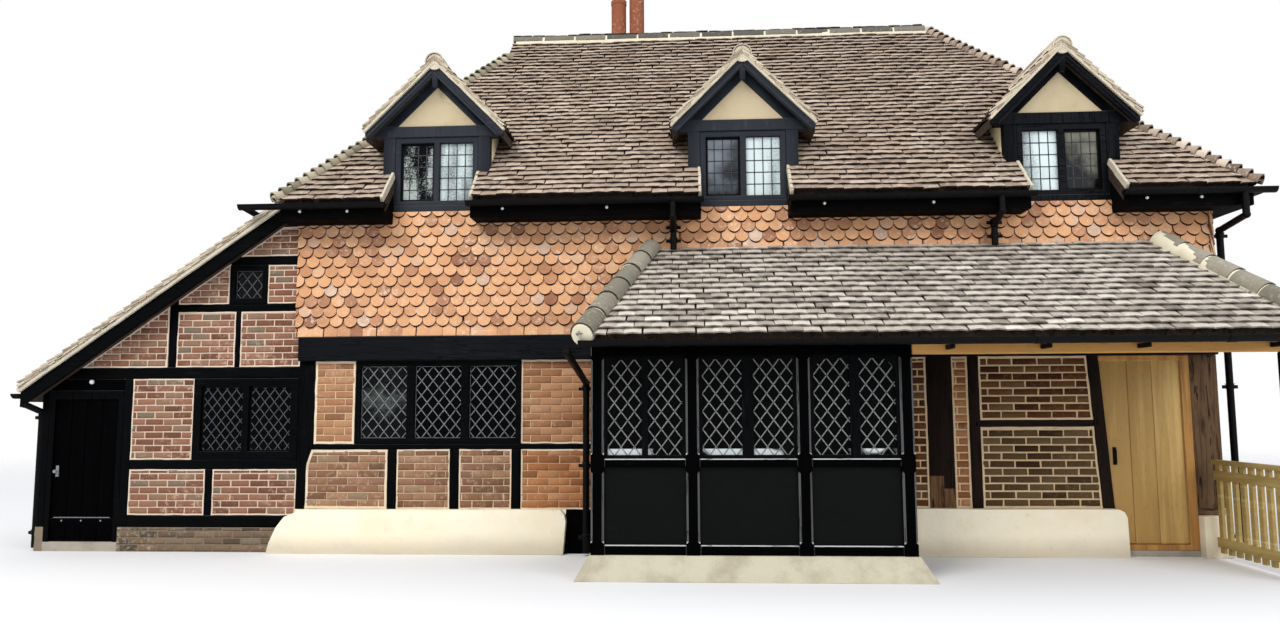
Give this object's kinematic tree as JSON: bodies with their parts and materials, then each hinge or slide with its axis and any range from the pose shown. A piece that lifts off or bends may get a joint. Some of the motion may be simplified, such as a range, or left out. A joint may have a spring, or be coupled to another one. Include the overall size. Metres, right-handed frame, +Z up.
{
  "type": "half timbered house",
  "caption": "Half timbered house with tile-hung upper walls, hipped roof with dormers, side outshot, bay and open porch under a pent roof",
  "frame": {"origin": "ground level in the middle of the main block, under its ground floor", "axes": "+X along the front to the right as seen from outside, -Y out of the front, +Z up"},
  "size_m": [13.272, 7.334, 7.95],
  "materials": {
    "floor": "plain screed",
    "brick": "soft red brick with wide pale joints",
    "render": "lime render, cream",
    "base_stone": "rough stone and mortar",
    "black_timber": "black stained oak, weathered",
    "roof_tiles": "clay roof tiles, weathered",
    "floor_boards": "softwood boards",
    "wall_tiles": "clay tile hanging, matt",
    "cheek_render": "lime render, warm cream",
    "glass": "clear window glass",
    "pots": "terracotta, matt",
    "black_iron": "black paint",
    "pent_tiles": "clay roof tiles, weathered grey pink",
    "light_oak": "new oak, oiled",
    "oak_door_wood": "oak boards, oiled",
    "grey_iron": "grey paint"
  },
  "bodies": {
    "house": {"ground_floor": "floor", "brick_base": "brick", "end_bases": "brick", "rendered_plinths": "render", "bay_base": "base_stone", "front_posts": "black_timber", "front_rails": "black_timber", "front_infill": "brick", "back_posts": "black_timber", "back_rails": "black_timber", "back_infill": "brick", "bressummers": "black_timber", "end_beams": "black_timber", "outshot_posts": "black_timber", "outshot_rails": "black_timber", "outshot_infill": "brick", "outshot_roof": "roof_tiles", "upper_floor": "floor_boards", "upper_front_wall": "wall_tiles", "upper_rear_wall": "wall_tiles", "upper_end_walls": "wall_tiles", "front_roof": "roof_tiles", "rear_roof": "roof_tiles", "hip_roofs": "roof_tiles", "gablets": "roof_tiles", "ridge_tiles": "roof_tiles", "eaves_boards": "black_timber", "dormer_frames": "black_timber", "dormer_panels": "cheek_render", "dormer_roofs": "roof_tiles", "bargeboards": "black_timber", "window_frames": "black_timber", "window_glass": "glass", "chimney_stack": "brick", "chimney_pots": "pots", "gutters": "black_iron", "downpipes": "black_iron", "bay_posts": "black_timber", "bay_rails": "black_timber", "bay_panels": "black_timber", "bay_windows": "black_timber", "pent_roof": "pent_tiles", "pent_ends": "pent_tiles", "porch_beam": "light_oak", "porch_post": "light_oak", "side_rail": "light_oak", "oak_door_frame": "light_oak", "outshot_door_frame": "black_timber"},
    "oak_door_leaf": {"oak_door": "oak_door_wood", "oak_door_handle": "black_iron"},
    "outshot_door_leaf": {"outshot_door": "black_timber", "outshot_door_latch": "grey_iron"}
  },
  "joints": [
    {"name": "oak_door_hinge", "type": "hinge", "parent": "house", "child": "oak_door_leaf", "pos_m": [4.479, -2.534, 1], "axis": [0, 0, -1], "range_deg": [0, 90]},
    {"name": "outshot_door_hinge", "type": "hinge", "parent": "house", "child": "outshot_door_leaf", "pos_m": [-6.856, -2.534, 1], "axis": [0, 0, -1], "range_deg": [0, 90]}
  ]
}
